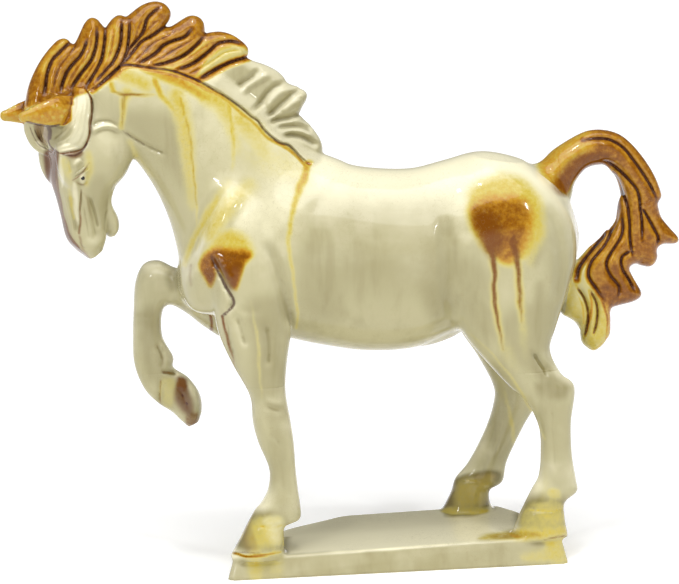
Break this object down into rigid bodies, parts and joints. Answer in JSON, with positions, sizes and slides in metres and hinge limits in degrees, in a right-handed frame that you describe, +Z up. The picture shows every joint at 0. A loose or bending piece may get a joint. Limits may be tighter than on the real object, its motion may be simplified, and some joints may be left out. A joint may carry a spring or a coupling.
{
  "type": "pottery tomb horse figure",
  "caption": "Glazed pottery horse with bowed head, raised foreleg, combed-back mane and arched tail, standing on a wedge-shaped plinth.",
  "frame": {"origin": "middle of the plinth's underside", "axes": "+X from head to tail along the plinth, +Y across to the side of the raised foreleg, +Z up"},
  "size_m": [0.3528, 0.0825, 0.2864],
  "materials": {
    "glaze": "glossy cream lead glaze, finely crazed, with amber-brown mane and tail and amber and yellow runs"
  },
  "bodies": {
    "root": {"horse": "glaze"}
  },
  "joints": []
}
